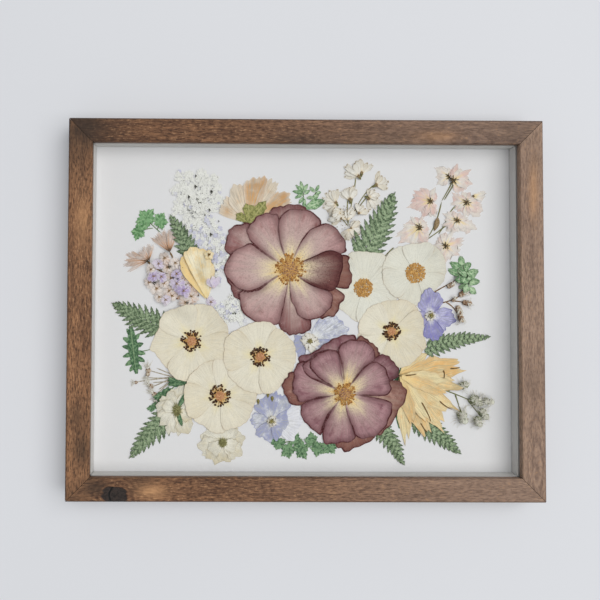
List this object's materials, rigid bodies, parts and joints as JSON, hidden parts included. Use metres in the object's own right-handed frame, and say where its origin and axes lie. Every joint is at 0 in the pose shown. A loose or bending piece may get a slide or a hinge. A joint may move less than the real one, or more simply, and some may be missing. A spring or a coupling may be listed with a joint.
{
  "type": "pressed_flower_frame",
  "caption": "Landscape dark-stained wooden frame with a deep white spacer, holding pressed roses, cream blossoms, larkspur, ferns and lace flower on a white board behind clear glass.",
  "frame": {"origin": "centre of the back plane, on which the frame lies", "axes": "+X to the right along the long side, +Y to the hanging top edge, +Z out through the glass"},
  "size_m": [0.381, 0.3048, 0.0254],
  "materials": {
    "stained_wood": "walnut stain, satin",
    "clear_glass": "clear float glass",
    "white_spacer": "matt white",
    "mount_board": "smooth white board",
    "backing_fibreboard": "hardboard, smooth side out",
    "zinc_steel": "zinc plated",
    "brassed_steel": "brass plated",
    "lace_flower": "dry petal, matt",
    "ivory_petal": "dry petal, matt",
    "blush_petal": "dry petal, matt",
    "dry_bud": "dry bud, matt",
    "lilac_petal": "dry petal, matt",
    "yellow_petal": "dry petal, matt",
    "bright_leaf": "dry leaf, matt",
    "green_leaf": "dry leaf, matt",
    "dark_leaf": "dry leaf, matt",
    "fern_leaf": "dry leaf, matt",
    "peach_petal": "dry petal, matt",
    "apricot_petal": "dry petal, matt",
    "pale_blue_petal": "dry petal, matt",
    "blue_petal": "dry petal, matt",
    "cream_petal": "dry petal, matt",
    "rose_petal": "dry petal, matt"
  },
  "bodies": {
    "root": {"rail_top": "stained_wood", "rail_bottom": "stained_wood", "rail_left": "stained_wood", "rail_right": "stained_wood", "glass": "clear_glass", "spacer_top": "white_spacer", "spacer_bottom": "white_spacer", "spacer_left": "white_spacer", "spacer_right": "white_spacer", "mount_board": "mount_board", "backing_board": "backing_fibreboard", "framing_point_1": "zinc_steel", "framing_point_2": "zinc_steel", "framing_point_3": "zinc_steel", "framing_point_4": "zinc_steel", "framing_point_5": "zinc_steel", "framing_point_6": "zinc_steel", "sawtooth_hanger": "brassed_steel", "hanger_nail_left": "zinc_steel", "hanger_nail_right": "zinc_steel", "lace_upper": "lace_flower", "lace_lower": "lace_flower", "lace_small": "lace_flower", "white_spray": "ivory_petal", "blush_spray": "blush_petal", "heather_sprig": "dry_bud", "bud_sprig_right": "dry_bud", "bud_sprig_left": "dry_bud", "statice_cluster": "lilac_petal", "parsley_sprig": "bright_leaf", "jagged_leaf": "green_leaf", "dark_leaves": "dark_leaf", "green_sprig_top": "bright_leaf", "leaf_cluster_right": "bright_leaf", "lobed_leaves": "bright_leaf", "hidden_leaf": "dark_leaf", "peach_blossom": "peach_petal", "fern_small": "fern_leaf", "fern_left": "fern_leaf", "fern_lower_left": "fern_leaf", "fern_lower_middle": "fern_leaf", "fern_lower_right": "fern_leaf", "fern_upper": "fern_leaf", "fern_right": "fern_leaf", "yellow_petals": "yellow_petal", "green_eye_blossom": "ivory_petal", "ivory_blossom": "ivory_petal", "alstroemeria": "apricot_petal", "larkspur_lower": "pale_blue_petal", "larkspur_middle": "pale_blue_petal", "larkspur_right": "blue_petal", "cream_flower_1": "cream_petal", "cream_flower_2": "cream_petal", "cream_flower_3": "cream_petal", "cream_flower_4": "cream_petal", "cream_flower_5": "cream_petal", "cream_flower_6": "cream_petal", "rose_upper": "rose_petal", "rose_lower": "rose_petal"}
  },
  "joints": []
}
